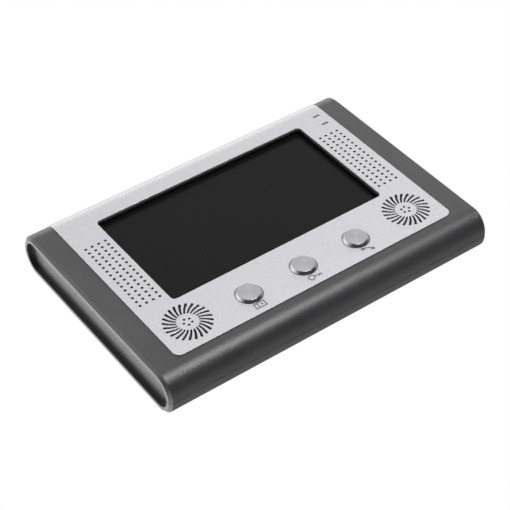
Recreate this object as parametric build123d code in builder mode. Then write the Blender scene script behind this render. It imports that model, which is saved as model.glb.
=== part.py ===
from build123d import *
import os

os.makedirs("parts", exist_ok=True)

# Video intercom monitor on its wall bracket, as it hangs in use.
# Frame: +X to the right seen from the front, +Z up, -Y towards the user.
# Origin: the wall face (Y = 0) at the centre of the bracket's screw pattern.
# A "depth" is a distance in front of the wall, so depth d is the plane Y = -d.

# Driving dimensions
monitor_width = 232.0
monitor_height = 161.0
case_depth = 28.9
nose_length = 13.0  # height of each half-elliptical long edge
wall = 2.2
bracket_gap = 11.0  # from the wall to the back of the case
monitor_z = -4.2  # the monitor's centre hangs this far below the bracket's centre
lift = 10.0  # travel that frees the monitor from its hooks

mid_depth = bracket_gap + case_depth / 2  # parting plane between the two case halves
front_depth = bracket_gap + case_depth
rear_inside = bracket_gap + wall
front_inside = front_depth - wall
half_flat = monitor_height / 2 - nose_length

# Recessed ends of the case
end_rim = 4.0
end_recess = 3.5
end_chamfer = 1.8
end_floor_x = monitor_width / 2 - end_recess
inner_half_length = end_floor_x - wall

# Fine groove between the case halves
groove_width = 0.4
groove_depth = 0.35
groove_inside = (monitor_width - 2 * groove_depth, monitor_height - 2 * groove_depth)

# Front panel and its window
panel_width = 200.5
panel_bottom = -64.8
panel_corner = 4.5
panel_thickness = 1.0
panel_proud = 0.6
window_width = 154.0
window_height = 84.5
window_z = 16.1
window_corner = 3.0
frame_lip = 0.4  # how much smaller the frame's own window is
panel_face = front_depth + panel_proud

# Holes in the panel
grid_x = 87.9
grid_z = 11.0
grid_pitch_x = 4.5
grid_pitch_z = 3.95
grid_columns = 4
grid_rows = 16
sound_hole = 1.9
swirl_x = 80.0
swirl_z = -45.4
swirl_slots = 24
swirl_inner = 6.5
swirl_outer = 14.8
swirl_turn = 14.0  # how far a slot's outer end is turned from its inner end
swirl_inner_width = 1.05
swirl_outer_width = 1.85
swirl_start = -2.0  # turns the whole ring of slots
swirl_centre_hole = 1.7
swirl_centre_ring = 2.6
swirl_centre_holes = 5
swirl_pocket = 15.9
indicator_x = 93.2
indicator_zs = (51.2, 60.5)
indicator_slot = (5.3, 1.6)
indicator_hollow = (5.4, 1.7)

# Push buttons
button_spacing = 39.2
button_z = -47.85
button_base = 16.4
button_top = 13.8
button_height = 1.8
button_hole = 17.0
button_flange = 19.6
flange_thickness = 1.1
button_nub = 2.0  # radius of the stub over the switch
flange_play = 0.1
nub_length = 0.5

# Printed marks
mark_z = -58.9
mark_line = 0.7
mark_ink = 0.08
screen_mark = (7.6, 4.6)
key_ring_radius = 2.2
key_shaft = 4.8
key_teeth = (2.6, 4.3)  # how far right of the button's centre
key_tooth_length = 1.4
handset_tilt = -27
handset_ends = ((-2.3, 1.2), (2.9, -1.5))
handset_end_size = (2.6, 2.0)
handset_length = 5.4

# Screen module
screen_face = panel_face - 4.0
module_width = 164.0
module_height = 97.0
module_z = 17.1
module_back = 31.0
glass_thickness = 1.6
bezel_sheet = 0.4
bezel_side = 0.5
bezel_reveal = 1.0
glass_margin = 0.7  # between the glass and the outside of the bezel
touch_gap = 0.05
gasket_outer = (159.4, 93.0)
gasket_inner = (155.4, 86.6)
strap_xs = (-60, 60)
strap_z = 17.2
strap_size = (9, 110)
strap_sheet = 1.0
ribbon_width = 30.0
ribbon_sheet = 0.3
ribbon_turn_z = -24.0
ribbon_start_z = -8.0

# Boards
main_board_depth = 18.0
side_board_depth = 19.2
button_board_depth = 30.0
board_thickness = 1.6
main_board_size = (124, 108)
main_board_z = -12.0
side_board_size = (17, 118)
side_board_place = (101.3, 2)
button_board_size = (116, 15)
button_board_drop = 0.6
indicator_board_depth = 31.8
indicator_board_size = (9, 16)
indicator_board_thickness = 1.2
connector_size = (34, 4.4)
connector_height = 3.0
capacitor_radius = 3.15
capacitor_height = 7.7
button_switch_size = 6.0
button_switch_height = 3.4
plunger_radius = 1.7
plunger_height = 0.4
lamp_size = (3.2, 1.6)
lamp_height = 1.2
lens_size = (5.1, 1.4)
lens_flange = (7, 3.2)
lens_back = 34.5
lens_sunk = 0.15  # below the face of the panel

# Speaker and microphone
speaker_radius = 13.0
speaker_wall = 1.2
speaker_back = 34.5
speaker_height = 2.5
magnet_radius = 7.5
magnet_height = 3.5
cone_depth = 35.9
cone_sheet = 0.5
cone_dome_radius = 5.0
cone_dome_height = 0.6
cone_dome_taper = 40
foam_width = 1.3
foam_height = 0.6
foam_gap = 0.02
retainer_depth = 33.2
retainer_width = 4.0
retainer_height = 1.25
capsule_radius = 4.85
capsule_depth = 33.2
capsule_height = 4.2
boot_radius = 6.0
boot_depth = 32.2
boot_height = 5.4
cup_wall = 0.6
cup_gap = 0.1
cup_depth = 33.0
cloth_sheet = 0.3
grid_cloth = (16.0, 64.0)
grid_hollow = (15.2, 61.4)
speaker_hollow = 11.5
microphone_hollow = 4.0
swirl_pocket_depth = 1.4

# Thumbwheels, power socket and power switch behind the right end
wheel_zs = (29.8, 7.4, -15.0)
wheel_radius = 9.0
wheel_thickness = 2.4
wheel_x = 103.9
wheel_slot = (15.5, 3.0)
wheel_notches = 40
wheel_notch_radius = 0.45
shaft_radius = 1.5
shaft_head_radius = 2.6
shaft_head_height = 0.6
pot_size = 10.0
pot_height = 3.2
running_gap = 0.2
socket_z = -39.2
socket_depth = 26.5
socket_opening = 5.6
socket_size = (11.8, 11.0, 9.0)
socket_bore_radius = 2.75
socket_bore_length = 9.5
socket_pin_radius = 1.0
socket_pin_sunk = 0.8
switch_z = -48.4
switch_depth = 26.0
switch_opening = (4.6, 2.6)
switch_x = 106.0
switch_size = (7.6, 8.0, 8.4)
switch_track = (2.4, 4.4)
switch_track_depth = 5.0
switch_throw = 2.2
knob_size = (1.7, 1.6)
knob_back_x = 105.2

# Case screws
case_screw_x = 105.9
case_screw_z = 70.75
post_radius = 4.5
counterbore_depth = 17.0
counterbore_radius = 3.0
counterbore_wall = 2.7
clearance_radius = 1.7
front_post_top = 36.6
front_pilot = (1.5, 9.0)  # radius and depth
case_screw_head = (2.7, 2.0)  # radius and height
case_screw_shaft = (1.45, 16.0)
cross_recess = (3.4, 0.7, 1.2)  # length, width and depth

# Small self-tapping screws and their posts
small_pilot_radius = 1.15
small_pilot_depth = 5.0
small_hole_radius = 1.3
small_head = (2.0, 1.4)
small_shaft = (1.1, 5.0)
main_post_radius = 3.0
side_post_radius = 2.6
front_small_post_radius = 2.5
indicator_post_radius = 1.9
post_root = 0.5  # how far a post runs into the wall that it stands on

# Pockets in the back of the case
terminal_width = 41.8
terminal_bottom = -64.4
terminal_top = -36.0
terminal_notch = 6.2
skirt = 1.5
aux_x = 102.6
aux_z = 46.4
aux_size = (17.0, 28.3)
aux_floor = 16.5
aux_opening = (11, 13)
aux_opening_shift = (2.2, 5.6)
aux_rib = (20, 2.4)
aux_rib_shift = 6.2
aux_rib_sunk = 2.0
label_place = (104.1, 65.2)
label_size = (14.5, 6.6)
label_recess = 0.5
vent_x = 70.0
vent_zs = (51.2, -47.7)
vent_pitch = (8.0, 4.4)
vent_count = (6, 4)
vent_slot = (5.0, 1.6)

# Guard walls and slots for the bracket's hooks
guard_wall = 1.3
guard_height = 2.4
guard_length = 34.6
guard_outer_x = 42.65
guard_floor_x = 38.85
guard_floor_length = 8.9
guard_stub = (35.0, 2.4, 1.2, 6.0)  # X, rise, width, height
hook_play = 0.15
drop_play = 0.35
slot_play = 1.0
mouth_width = 5.4
mouth_shift = 1.6

# Terminal sockets, as the opening's inner size, the wall and the pins
terminal_socket_z = -51.5
terminal_socket_xs = (-13.4, 0, 13.4)
terminal_socket_height = 6.0
terminal_socket_width = 12.2
aux_socket_width = 10.4
terminal_socket_wall = 0.8
terminal_socket_floor = 1.0
terminal_mouth = 0.8  # below the back of the case
aux_mouth = 3.5
pin_size = 0.6
pin_pitch = 2.2
pin_count = 4
pin_length = 4.0

# Seal disc and corner sticker
seal_place = (-67.9, -0.6)
seal_radius = 5.15
seal_sheet = 0.15
sticker_place = (-102.1, 75)
sticker_size = (15, 17.4)
sticker_tilt = -4
sticker_sheet = 0.12
sticker_reach = 11.0

# Wall bracket, measured from its own centre
bracket_width = 76.5
bracket_height = 122.6
bracket_tray = 8.2
sheet = 1.2
hook_spacing = 101.0
hook_length = 16.0
hook_reach = 14.7
foot_length = 9.2
foot_width = 2.4
hook_x = bracket_width / 2 - sheet / 2
big_hole = 8.05
screw_row_z = 41.7
screw_column_x = 23.0
screw_slot_width = 3.8
screw_slot_length = 7.6
centre_slot_length = 11.2
big_hole_pitch = 20.6
oval_z = 24.6
centre_oval = (9.9, 5.9)
side_oval = (4.15, 6.9)
hook_window = (2.6, 3.0)  # width, and how far its centre is inside the flange
corner_cut = 4.2
bend_radius = 1.4
foot_rise = 0.25
foot_root = 0.3
over = 1.0  # how far a cut starts outside the material


def facing(depth, centre_z=monitor_z):
    """Plane parallel to the wall, looking at the user: its x is X and its y is Z."""
    return Plane(origin=(0, -depth, centre_z), x_dir=(1, 0, 0), z_dir=(0, -1, 0))


def across(x):
    """Plane square to the long axis, centred on the case section: its x is Y and its y is Z."""
    return Plane(origin=(x, -mid_depth, monitor_z), x_dir=(0, 1, 0), z_dir=(1, 0, 0))


def slab_section(inset):
    """Case section moved inwards by `inset`: flat front and back with half-elliptical long edges."""
    half_depth = case_depth / 2 - inset
    with BuildSketch(mode=Mode.PRIVATE) as section:
        Rectangle(2 * half_depth, 2 * half_flat)
        with Locations((0, half_flat), (0, -half_flat)):
            Ellipse(half_depth, nose_length - inset)
    return section.sketch


def slab(inset, half_length):
    """Solid bar with the case section."""
    with BuildPart(mode=Mode.PRIVATE) as bar:
        with BuildSketch(across(-half_length)):
            add(slab_section(inset))
        extrude(amount=2 * half_length)
    return bar.part


def panel_blank(gap):
    """Bent sheet of the front panel without its holes, grown all round by `gap` to cut its seat."""
    top = monitor_height / 2 + nose_length
    bottom = panel_bottom - gap
    with BuildPart(mode=Mode.PRIVATE) as blank:
        add(slab(-panel_proud - gap, panel_width / 2 + gap))
        add(slab(panel_thickness - panel_proud + gap, monitor_width / 2), mode=Mode.SUBTRACT)
        with BuildSketch(facing(mid_depth)) as outline:
            with Locations((0, (top + bottom) / 2)):
                Rectangle(panel_width + 2 * gap, top - bottom)
            fillet(outline.vertices().group_by(Axis.Y)[0], panel_corner)
        extrude(amount=case_depth, mode=Mode.INTERSECT)
    return blank.part


def on_swirl(radius, side):
    """Point of a swirl slot at this radius: side is -1 or 1 for its edges and 0 for its middle."""
    along = (radius - swirl_inner) / (swirl_outer - swirl_inner)
    width = swirl_inner_width + along * (swirl_outer_width - swirl_inner_width)
    return Vector(side * width / 2, radius).rotate(Axis.Z, -swirl_turn * along)


def swirl_slots_sketch():
    """Ring of curved slots round a swirl's centre, wider towards their outer ends."""
    inner = swirl_inner + swirl_inner_width / 2
    outer = swirl_outer - swirl_outer_width / 2
    middle = (inner + outer) / 2
    with BuildSketch(mode=Mode.PRIVATE) as slot:
        with BuildLine():
            ThreePointArc(on_swirl(inner, -1), on_swirl(middle, -1), on_swirl(outer, -1))
            ThreePointArc(on_swirl(outer, -1), on_swirl(swirl_outer, 0), on_swirl(outer, 1))
            ThreePointArc(on_swirl(outer, 1), on_swirl(middle, 1), on_swirl(inner, 1))
            ThreePointArc(on_swirl(inner, 1), on_swirl(swirl_inner, 0), on_swirl(inner, -1))
        make_face()
    with BuildSketch(mode=Mode.PRIVATE) as slots:
        with PolarLocations(0, swirl_slots, start_angle=swirl_start):
            add(slot.sketch)
    return slots.sketch


# ---- Case shell, cut into its two halves below ----
with BuildPart() as shell:
    add(slab(0, monitor_width / 2))
    chamfer(shell.faces().filter_by(Axis.X).edges(), end_chamfer)
    for end in (-1, 1):
        with BuildSketch(across(end * monitor_width / 2)):
            add(slab_section(end_rim))
        extrude(amount=-end * end_recess, mode=Mode.SUBTRACT)
    add(slab(wall, inner_half_length), mode=Mode.SUBTRACT)
    # Fine groove along the parting line
    with BuildSketch(facing(mid_depth - groove_width / 2)):
        Rectangle(monitor_width + over, monitor_height + over)
        Rectangle(groove_inside[0], groove_inside[1], mode=Mode.SUBTRACT)
    extrude(amount=groove_width, mode=Mode.SUBTRACT)
    # Openings in the right end, in line with the parting plane
    with BuildSketch(across(end_floor_x)):
        with Locations([(0, z) for z in wheel_zs]):
            Rectangle(wheel_slot[1], wheel_slot[0])
        with Locations((mid_depth - socket_depth, socket_z)):
            Rectangle(socket_opening, socket_opening)
        with Locations((mid_depth - switch_depth, switch_z)):
            Rectangle(switch_opening[1], switch_opening[0])
    extrude(amount=-wall, mode=Mode.SUBTRACT)

# Derived depths and places
main_board_front = main_board_depth + board_thickness
side_board_front = side_board_depth + board_thickness
button_board_front = button_board_depth + board_thickness
indicator_board_front = indicator_board_depth + indicator_board_thickness
aux_socket_place = (aux_x + aux_opening_shift[0], aux_z + aux_opening_shift[1])
screw_places = [(x, z) for x in (-case_screw_x, case_screw_x) for z in (-case_screw_z, case_screw_z)]
hook_zs = [side * hook_spacing / 2 - monitor_z for side in (1, -1)]
button_xs = [-button_spacing, 0, button_spacing]

# Places of the small screws
main_board_screws = [(x, z) for x in (-57, 57) for z in (-60, 36)]
side_board_screws = [(96.5, 18.6), (96.5, -30.0)]
strap_screws = [(x, z) for x in strap_xs for z in (-35.2, 69.6)]
button_board_screws = [(x, button_z) for x in (-53.5, -19.6, 19.6, 53.5)]
indicator_screw = (indicator_x, sum(indicator_zs) / 2)

# Terminal sockets: places, width, depth of their board, depth of their mouth
socket_places = [(x, terminal_socket_z) for x in terminal_socket_xs]
socket_sets = [
    (socket_places, terminal_socket_width, main_board_depth, bracket_gap + terminal_mouth),
    ([aux_socket_place], aux_socket_width, side_board_depth, aux_floor - aux_mouth),
]

# ---- Rear case ----
with BuildPart() as rear_case:
    add(shell.part)
    split(bisect_by=facing(mid_depth), keep=Keep.BOTTOM)
    # Screw posts in the corners
    with BuildSketch(facing(counterbore_depth - counterbore_wall)):
        with Locations(screw_places):
            Circle(post_radius)
    extrude(amount=mid_depth - counterbore_depth + counterbore_wall)
    # Posts under the main board and the side board
    with BuildSketch(facing(rear_inside - post_root)):
        with Locations(main_board_screws):
            Circle(main_post_radius)
    extrude(amount=main_board_depth - rear_inside + post_root)
    with BuildSketch(facing(rear_inside - post_root)):
        with Locations(side_board_screws):
            Circle(side_post_radius)
    extrude(amount=side_board_depth - rear_inside + post_root)
    with BuildSketch(facing(rear_inside + post_root)):
        with Locations(main_board_screws + side_board_screws):
            Circle(small_pilot_radius)
    extrude(amount=side_board_depth - rear_inside, mode=Mode.SUBTRACT)
    # Skirt and mouth of the terminal recess, open down to the main board
    for grow, top, far, how in (
        (skirt, rear_inside - post_root, main_board_depth - running_gap, Mode.ADD),
        (0, bracket_gap - over, main_board_depth, Mode.SUBTRACT),
    ):
        with BuildSketch(facing(top)):
            with Locations((0, (terminal_bottom + terminal_top) / 2)):
                RectangleRounded(terminal_width + 2 * grow, terminal_top - terminal_bottom + 2 * grow, 2)
            with Locations((0, terminal_bottom + 1)):
                Circle(terminal_notch + grow)
        extrude(amount=far - top, mode=how)
    # Oblong pocket of the auxiliary socket: walls, hollow, floor opening, strain-relief rib
    with BuildSketch(facing(rear_inside - post_root)):
        with Locations((aux_x, aux_z)):
            SlotOverall(aux_size[1] + 2 * skirt, aux_size[0] + 2 * skirt, rotation=90)
    extrude(amount=aux_floor + skirt - rear_inside + post_root)
    for end in (-1, 1):
        with BuildSketch(across(end * monitor_width / 2)):
            add(slab_section(end_rim))
        extrude(amount=-end * end_recess, mode=Mode.SUBTRACT)
    with BuildSketch(facing(bracket_gap - over)):
        with Locations((aux_x, aux_z)):
            SlotOverall(aux_size[1], aux_size[0], rotation=90)
    extrude(amount=aux_floor - bracket_gap + over, mode=Mode.SUBTRACT)
    with BuildSketch(facing(aux_floor)):
        with Locations(aux_socket_place):
            RectangleRounded(aux_opening[0], aux_opening[1], 2)
    extrude(amount=skirt, mode=Mode.SUBTRACT)
    with BuildSketch(facing(bracket_gap + aux_rib_sunk)):
        with Locations((aux_x - aux_rib_shift, aux_z)):
            SlotOverall(aux_rib[0], aux_rib[1], rotation=90)
    extrude(amount=aux_floor - bracket_gap - aux_rib_sunk)
    # Shallow label recess above the oblong pocket
    with BuildSketch(facing(bracket_gap)):
        with Locations(label_place):
            Rectangle(label_size[0], label_size[1])
    extrude(amount=label_recess, mode=Mode.SUBTRACT)
    # Guard walls round the hook pockets
    for side in (-1, 1):
        for z in hook_zs:
            pocket_bottom = z - hook_length / 2 - lift - drop_play - touch_gap
            stub_x, stub_rise, stub_width, stub_height = guard_stub
            with BuildSketch(facing(bracket_gap - guard_height)):
                with Locations((side * guard_outer_x, pocket_bottom - guard_wall)):
                    Rectangle(guard_wall, guard_length, align=(Align.CENTER, Align.MIN))
                with Locations((side * guard_floor_x, pocket_bottom - guard_wall / 2)):
                    Rectangle(guard_floor_length, guard_wall)
                with Locations((side * stub_x, pocket_bottom + stub_rise)):
                    Rectangle(stub_width, stub_height)
            extrude(amount=guard_height + over)
    # Hook slots: a narrow run for the neck, and a wide mouth at its lower end for the foot
    with BuildSketch(facing(bracket_gap - over)):
        for side in (-1, 1):
            for z in hook_zs:
                slot_top = z + hook_length / 2 + hook_play
                slot_bottom = z - hook_length / 2 - lift - drop_play
                mouth_top = z - hook_length / 2
                with Locations((side * hook_x, (slot_top + slot_bottom) / 2)):
                    Rectangle(sheet + slot_play, slot_top - slot_bottom)
                with Locations((side * (hook_x + mouth_shift), (mouth_top + slot_bottom) / 2)):
                    Rectangle(mouth_width, mouth_top - slot_bottom)
    extrude(amount=wall + over, mode=Mode.SUBTRACT)
    # Ventilation slots
    with BuildSketch(facing(bracket_gap)):
        for x in (-vent_x, vent_x):
            for z in vent_zs:
                with Locations((x, z)):
                    with GridLocations(*vent_pitch, *vent_count):
                        SlotOverall(vent_slot[0], vent_slot[1])
    extrude(amount=wall, mode=Mode.SUBTRACT)
    # Counterbored holes of the case screws
    with BuildSketch(facing(bracket_gap - over)):
        with Locations(screw_places):
            Circle(counterbore_radius)
    extrude(amount=counterbore_depth - bracket_gap + over, mode=Mode.SUBTRACT)
    with BuildSketch(facing(counterbore_depth)):
        with Locations(screw_places):
            Circle(clearance_radius)
    extrude(amount=mid_depth - counterbore_depth, mode=Mode.SUBTRACT)
rear_case.part.label = "rear_case"
export_step(rear_case.part, "parts/rear_case.step")

# ---- Front frame ----
swirl_places = [(-swirl_x, swirl_z), (swirl_x, swirl_z)]
grid_places = [(-grid_x, grid_z), (grid_x, grid_z)]
indicator_places = [(indicator_x, z) for z in indicator_zs]

with BuildPart() as front_frame:
    add(shell.part)
    split(bisect_by=facing(mid_depth), keep=Keep.TOP)
    # Screw posts
    with BuildSketch(facing(mid_depth)):
        with Locations(screw_places):
            Circle(post_radius)
    extrude(amount=front_post_top - mid_depth)
    with BuildSketch(facing(mid_depth)):
        with Locations(screw_places):
            Circle(front_pilot[0])
    extrude(amount=front_pilot[1], mode=Mode.SUBTRACT)
    # Posts for the screen straps, the button board and the indicator board
    for places, radius, seat in (
        (strap_screws, front_small_post_radius, module_back),
        (button_board_screws, front_small_post_radius, button_board_front),
        ([indicator_screw], indicator_post_radius, indicator_board_front),
    ):
        with BuildSketch(facing(seat)):
            with Locations(places):
                Circle(radius)
        extrude(amount=front_inside - seat + post_root)
        with BuildSketch(facing(seat)):
            with Locations(places):
                Circle(small_pilot_radius)
        extrude(amount=small_pilot_depth, mode=Mode.SUBTRACT)
    # Cups that hold the speaker and the microphone boot
    for (x, z), radius in zip(swirl_places, (speaker_radius, boot_radius)):
        with BuildSketch(facing(cup_depth)):
            with Locations((x, z)):
                Circle(radius + cup_gap + cup_wall)
                Circle(radius + cup_gap, mode=Mode.SUBTRACT)
        extrude(amount=front_inside - cup_depth + post_root)
    # Seat of the panel, and the hollows behind its perforations
    add(panel_blank(touch_gap), mode=Mode.SUBTRACT)
    with BuildSketch(facing(front_depth - swirl_pocket_depth)):
        with Locations(swirl_places):
            Circle(swirl_pocket)
    extrude(amount=swirl_pocket_depth, mode=Mode.SUBTRACT)
    with BuildSketch(facing(front_inside)) as through:
        with Locations((0, window_z)):
            RectangleRounded(window_width - frame_lip, window_height - frame_lip, window_corner)
        with Locations(grid_places):
            RectangleRounded(grid_hollow[0], grid_hollow[1], 1)
        with Locations(swirl_places[0]):
            Circle(speaker_hollow)
        with Locations(swirl_places[1]):
            Circle(microphone_hollow)
        with Locations([(x, button_z) for x in button_xs]):
            Circle(button_hole / 2)
        with Locations(indicator_places):
            Rectangle(indicator_hollow[0], indicator_hollow[1])
    extrude(amount=wall, mode=Mode.SUBTRACT)
front_frame.part.label = "front_frame"
export_step(front_frame.part, "parts/front_frame.step")

# ---- Front panel: aluminium sheet bent over the top edge ----
with BuildPart() as front_panel:
    add(panel_blank(0))
    with BuildSketch(facing(front_depth - over)):
        with Locations((0, window_z)):
            RectangleRounded(window_width, window_height, window_corner)
        with Locations(grid_places):
            with GridLocations(grid_pitch_x, grid_pitch_z, grid_columns, grid_rows):
                Circle(sound_hole / 2)
        with Locations(swirl_places):
            add(swirl_slots_sketch())
        for (x, z), first in zip(swirl_places, (180, 0)):
            with Locations((x, z)):
                with PolarLocations(swirl_centre_ring, swirl_centre_holes, start_angle=first):
                    Circle(swirl_centre_hole / 2)
        with Locations([(x, button_z) for x in button_xs]):
            Circle(button_hole / 2)
        with Locations(indicator_places):
            SlotOverall(indicator_slot[0], indicator_slot[1])
    extrude(amount=panel_proud + panel_thickness + over, mode=Mode.SUBTRACT)
front_panel.part.label = "front_panel"
export_step(front_panel.part, "parts/front_panel.step")

# ---- Screen module ----
glass_size = (module_width - 2 * glass_margin, module_height - 2 * glass_margin)

with BuildPart() as screen_bezel:
    with BuildSketch(facing(module_back + bezel_side)):
        with Locations((0, module_z)):
            Rectangle(module_width, module_height)
            Rectangle(module_width - 2 * bezel_side, module_height - 2 * bezel_side, mode=Mode.SUBTRACT)
    extrude(amount=screen_face - module_back - bezel_side)
    with BuildSketch(facing(screen_face - bezel_sheet)):
        with Locations((0, module_z)):
            Rectangle(module_width, module_height)
        with Locations((0, window_z)):
            Rectangle(window_width + 2 * bezel_reveal, window_height + 3 * bezel_reveal, mode=Mode.SUBTRACT)
    extrude(amount=bezel_sheet)
screen_bezel.part.label = "screen_bezel"
export_step(screen_bezel.part, "parts/screen_bezel.step")

glass_front = screen_face - bezel_sheet - touch_gap
glass_back = glass_front - glass_thickness

with BuildPart() as screen_glass:
    with BuildSketch(facing(glass_back)):
        with Locations((0, module_z)):
            Rectangle(glass_size[0], glass_size[1])
    extrude(amount=glass_thickness)
screen_glass.part.label = "screen_glass"
export_step(screen_glass.part, "parts/screen_glass.step")

with BuildPart() as backlight:
    with BuildSketch(facing(module_back)):
        with Locations((0, module_z)):
            Rectangle(glass_size[0], glass_size[1])
    extrude(amount=glass_back - touch_gap - module_back)
backlight.part.label = "backlight"
export_step(backlight.part, "parts/backlight.step")

with BuildPart() as screen_gasket:
    with BuildSketch(facing(screen_face + touch_gap)):
        with Locations((0, window_z)):
            Rectangle(gasket_outer[0], gasket_outer[1])
            Rectangle(gasket_inner[0], gasket_inner[1], mode=Mode.SUBTRACT)
    extrude(amount=front_inside - screen_face - 2 * touch_gap)
screen_gasket.part.label = "screen_gasket"
export_step(screen_gasket.part, "parts/screen_gasket.step")

with BuildPart() as screen_straps:
    with BuildSketch(facing(module_back - strap_sheet)):
        with Locations([(x, strap_z) for x in strap_xs]):
            RectangleRounded(strap_size[0], strap_size[1], 2)
        with Locations(strap_screws):
            Circle(small_hole_radius, mode=Mode.SUBTRACT)
    extrude(amount=strap_sheet)
screen_straps.part.label = "screen_straps"
export_step(screen_straps.part, "parts/screen_straps.step")

connector_top = main_board_front + connector_height
ribbon_y = mid_depth - module_back + ribbon_sheet

with BuildPart() as screen_ribbon:
    with BuildSketch(across(-ribbon_width / 2)):
        with BuildLine():
            FilletPolyline(
                (ribbon_y, ribbon_start_z),
                (ribbon_y, ribbon_turn_z),
                (mid_depth - connector_top - touch_gap, ribbon_turn_z),
                radius=2,
            )
        trace(line_width=ribbon_sheet)
    extrude(amount=ribbon_width)
screen_ribbon.part.label = "screen_ribbon"
export_step(screen_ribbon.part, "parts/screen_ribbon.step")

# ---- Boards and what is soldered to them ----
with BuildPart() as main_board:
    with BuildSketch(facing(main_board_depth)):
        with Locations((0, main_board_z)):
            RectangleRounded(main_board_size[0], main_board_size[1], 2)
        with Locations(main_board_screws):
            Circle(small_hole_radius, mode=Mode.SUBTRACT)
    extrude(amount=board_thickness)
main_board.part.label = "main_board"
export_step(main_board.part, "parts/main_board.step")

capacitor_places = [(46, -24), (46, -34), (22, -48), (32, -48), (-34, -48), (-46, -36)]

# Each entry: place, length, breadth, height
chip_sizes = [
    ((-18, 12), 20, 20, 1.6),
    ((14, 16), 12, 8, 1.2),
    ((14, 4), 12, 8, 1.2),
    ((36, 12), 10, 10, 1.4),
    ((-44, -8), 8, 5, 1.5),
    ((-44, 6), 8, 5, 1.5),
    ((34, -34), 10, 9, 4.5),
    ((0, -46), 8, 5, 1.5),
]
with BuildPart() as board_chips:
    for place, length, breadth, height in chip_sizes:
        with BuildSketch(facing(main_board_front)):
            with Locations(place):
                Rectangle(length, breadth)
        extrude(amount=height)
board_chips.part.label = "board_chips"
export_step(board_chips.part, "parts/board_chips.step")

with BuildPart() as board_capacitors:
    with BuildSketch(facing(main_board_front)):
        with Locations(capacitor_places):
            Circle(capacitor_radius)
    extrude(amount=capacitor_height)
board_capacitors.part.label = "board_capacitors"
export_step(board_capacitors.part, "parts/board_capacitors.step")

with BuildPart() as ribbon_connector:
    with BuildSketch(facing(main_board_front)):
        with Locations((0, ribbon_turn_z)):
            Rectangle(connector_size[0], connector_size[1])
    extrude(amount=connector_height)
ribbon_connector.part.label = "ribbon_connector"
export_step(ribbon_connector.part, "parts/ribbon_connector.step")

with BuildPart() as terminal_sockets:
    for places, width, board, mouth in socket_sets:
        with BuildSketch(facing(mouth)):
            with Locations(places):
                Rectangle(width, terminal_socket_height)
                Rectangle(
                    width - 2 * terminal_socket_wall,
                    terminal_socket_height - 2 * terminal_socket_wall,
                    mode=Mode.SUBTRACT,
                )
        extrude(amount=board - mouth)
        with BuildSketch(facing(board - terminal_socket_floor)):
            with Locations(places):
                Rectangle(width - terminal_socket_wall, terminal_socket_height - terminal_socket_wall)
        extrude(amount=terminal_socket_floor)
terminal_sockets.part.label = "terminal_sockets"
export_step(terminal_sockets.part, "parts/terminal_sockets.step")

with BuildPart() as terminal_pins:
    for places, width, board, mouth in socket_sets:
        with BuildSketch(facing(board - terminal_socket_floor - pin_length)):
            with Locations(places):
                with GridLocations(pin_pitch, 1, pin_count, 1):
                    Rectangle(pin_size, pin_size)
        extrude(amount=pin_length)
terminal_pins.part.label = "terminal_pins"
export_step(terminal_pins.part, "parts/terminal_pins.step")

with BuildPart() as side_board:
    with BuildSketch(facing(side_board_depth)):
        with Locations(side_board_place):
            RectangleRounded(side_board_size[0], side_board_size[1], 1.5)
        with Locations(side_board_screws):
            Circle(small_hole_radius, mode=Mode.SUBTRACT)
    extrude(amount=board_thickness)
side_board.part.label = "side_board"
export_step(side_board.part, "parts/side_board.step")

with BuildPart() as button_board:
    with BuildSketch(facing(button_board_depth)):
        with Locations((0, button_z - button_board_drop)):
            RectangleRounded(button_board_size[0], button_board_size[1], 1.5)
        with Locations(button_board_screws):
            Circle(small_hole_radius, mode=Mode.SUBTRACT)
    extrude(amount=board_thickness)
button_board.part.label = "button_board"
export_step(button_board.part, "parts/button_board.step")

with BuildPart() as button_switches:
    with BuildSketch(facing(button_board_front)):
        with Locations([(x, button_z) for x in button_xs]):
            Rectangle(button_switch_size, button_switch_size)
    extrude(amount=button_switch_height)
    with BuildSketch(facing(button_board_front + button_switch_height)):
        with Locations([(x, button_z) for x in button_xs]):
            Circle(plunger_radius)
    extrude(amount=plunger_height)
button_switches.part.label = "button_switches"
export_step(button_switches.part, "parts/button_switches.step")

with BuildPart() as indicator_board:
    with BuildSketch(facing(indicator_board_depth)):
        with Locations(indicator_screw):
            RectangleRounded(indicator_board_size[0], indicator_board_size[1], 1)
            Circle(small_hole_radius, mode=Mode.SUBTRACT)
    extrude(amount=indicator_board_thickness)
indicator_board.part.label = "indicator_board"
export_step(indicator_board.part, "parts/indicator_board.step")

with BuildPart() as indicator_lamps:
    with BuildSketch(facing(indicator_board_front)):
        with Locations(indicator_places):
            Rectangle(lamp_size[0], lamp_size[1])
    extrude(amount=lamp_height)
indicator_lamps.part.label = "indicator_lamps"
export_step(indicator_lamps.part, "parts/indicator_lamps.step")

with BuildPart() as indicator_lenses:
    with BuildSketch(facing(lens_back)):
        with Locations(indicator_places):
            SlotOverall(lens_size[0], lens_size[1])
    extrude(amount=panel_face - lens_sunk - lens_back)
    with BuildSketch(facing(front_inside - flange_thickness)):
        with Locations(indicator_places):
            Rectangle(lens_flange[0], lens_flange[1])
    extrude(amount=flange_thickness - flange_play)
indicator_lenses.part.label = "indicator_lenses"
export_step(indicator_lenses.part, "parts/indicator_lenses.step")

# ---- Speaker and microphone ----
with BuildPart() as speaker_basket:
    with BuildSketch(facing(speaker_back)):
        with Locations(swirl_places[0]):
            Circle(speaker_radius)
    extrude(amount=speaker_height)
    with BuildSketch(facing(speaker_back + speaker_wall / 2)):
        with Locations(swirl_places[0]):
            Circle(speaker_radius - speaker_wall)
    extrude(amount=speaker_height, mode=Mode.SUBTRACT)
speaker_basket.part.label = "speaker_basket"
export_step(speaker_basket.part, "parts/speaker_basket.step")

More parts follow.
